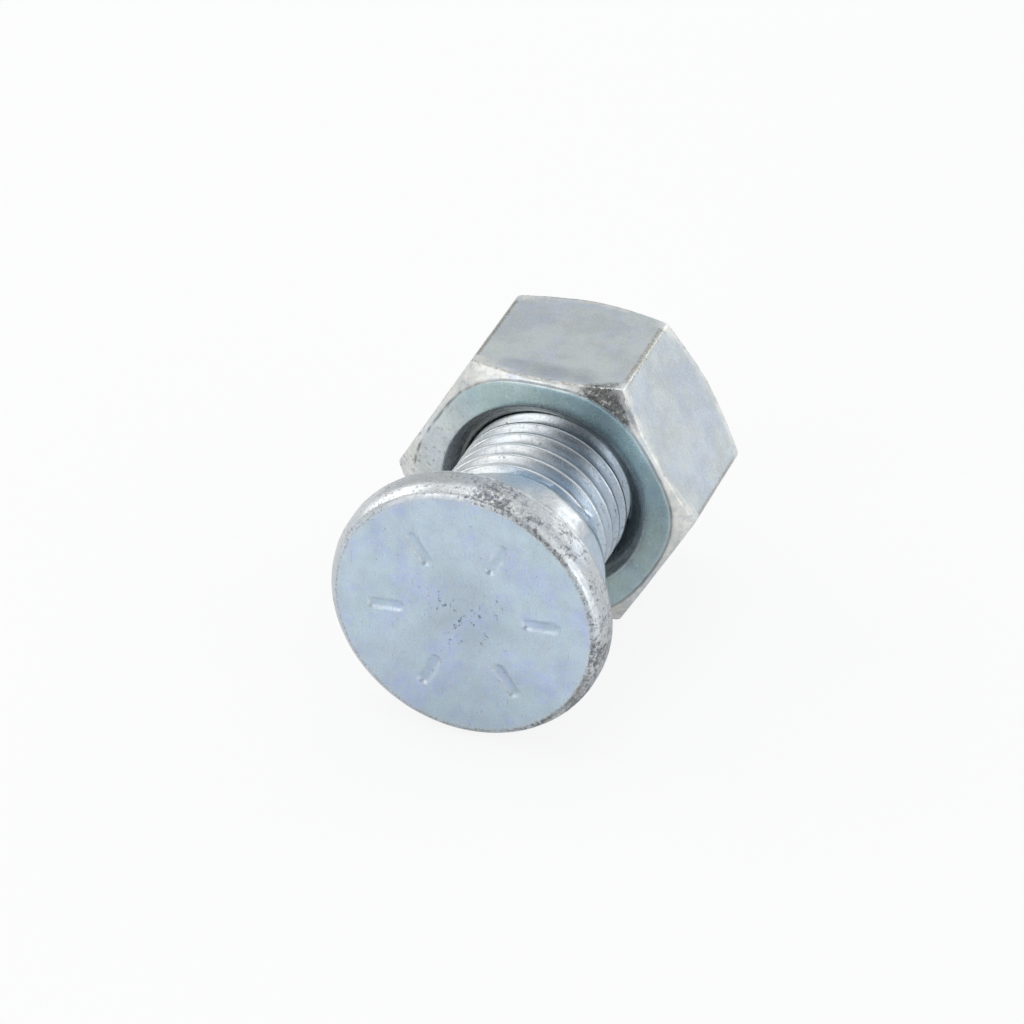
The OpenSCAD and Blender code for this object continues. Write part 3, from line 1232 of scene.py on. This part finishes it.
def light_world():
    """A pale studio, brighter on one side and with one dark opening to mirror."""
    world = bpy.data.worlds.new("studio")
    bpy.context.scene.world = world
    world.use_nodes = True
    n = Nodes(world.node_tree)
    way = n.add("ShaderNodeTexCoord").outputs["Generated"]
    levels = []
    for direction, span in ((BRIGHT_SIDE, BRIGHT_LEVELS), (DARK_SPOT, DARK_LEVELS)):
        facing = n.add("ShaderNodeVectorMath", operation="DOT_PRODUCT")
        n.link(way, facing.inputs[0])
        facing.inputs[1].default_value = Vector(direction).normalized()
        levels.append(n.remap(facing.outputs["Value"], *span))
    sky = n.add("ShaderNodeBackground", Color=SKY_COLOUR)
    n.link(n.times(*levels), sky.inputs["Strength"])
    output = n.add("ShaderNodeOutputWorld")
    n.link(sky.outputs["Background"], output.inputs["Surface"])


# Soft boxes: place in metres, width and watts; all look at one point of the part
LAMPS = {
    "front_left": ((-0.63, 0.35, 0.36), 0.56, 0.95),
    "left": ((0.10, 0.66, 0.34), 0.52, 1.2),
    "overhead": ((0.15, 0.10, 0.80), 0.7, 1.2),
    "back_right": ((0.60, -0.44, 0.23), 0.3, 0.2),
    "right": ((-0.20, -0.67, 0.10), 0.32, 0.5),
    "front_right": ((-0.60, -0.42, 0.02), 0.28, 0.28),
}
LAMPS_TO = (0.02, 0.0, 0.0)


def aim(item, place, target):
    """Puts a lamp or the camera at a place, looking at a target."""
    item.location = place
    item.rotation_euler = (Vector(target) - Vector(place)).to_track_quat("-Z", "Y").to_euler()


def light_lamps():
    """Large soft boxes over and beside the part."""
    for name, (place, width, watts) in LAMPS.items():
        lamp = bpy.data.lights.new(name, "AREA")
        lamp.size = width
        lamp.energy = watts
        box = bpy.data.objects.new(name, lamp)
        bpy.context.scene.collection.objects.link(box)
        aim(box, place, LAMPS_TO)


# The photograph's viewpoint, fitted to its outlines, in metres
CAMERA_AT = (-0.481912, -0.186012, 0.354490)
CAMERA_TO = (0.008167, -0.003283, 0.010531)
CAMERA_CLIP = (0.01, 50)
FOCAL_PIXELS = 5250
IMAGE_PIXELS = 1024
SENSOR_MM = 36.0


def make_camera():
    """The photograph's viewpoint, through a long lens."""
    data = bpy.data.cameras.new("camera")
    data.sensor_width = SENSOR_MM
    data.lens = FOCAL_PIXELS / IMAGE_PIXELS * SENSOR_MM
    data.clip_start, data.clip_end = CAMERA_CLIP
    camera = bpy.data.objects.new("camera", data)
    bpy.context.scene.collection.objects.link(camera)
    aim(camera, CAMERA_AT, CAMERA_TO)
    bpy.context.scene.camera = camera


bpy.context.scene.view_settings.view_transform = "Standard"
make_camera()
light_world()
light_lamps()
make_floor()

bolt = make_bolt()
bolt.data.materials.append(zinc("bolt_zinc_worn", BOLT_LOOK))
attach(bolt, "bolt")
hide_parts("plow_bolt")

nut = make_nut()
nut.data.materials.append(zinc("nut_zinc_worn", NUT_LOOK))
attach(nut, "nut")
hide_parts("hex_nut")
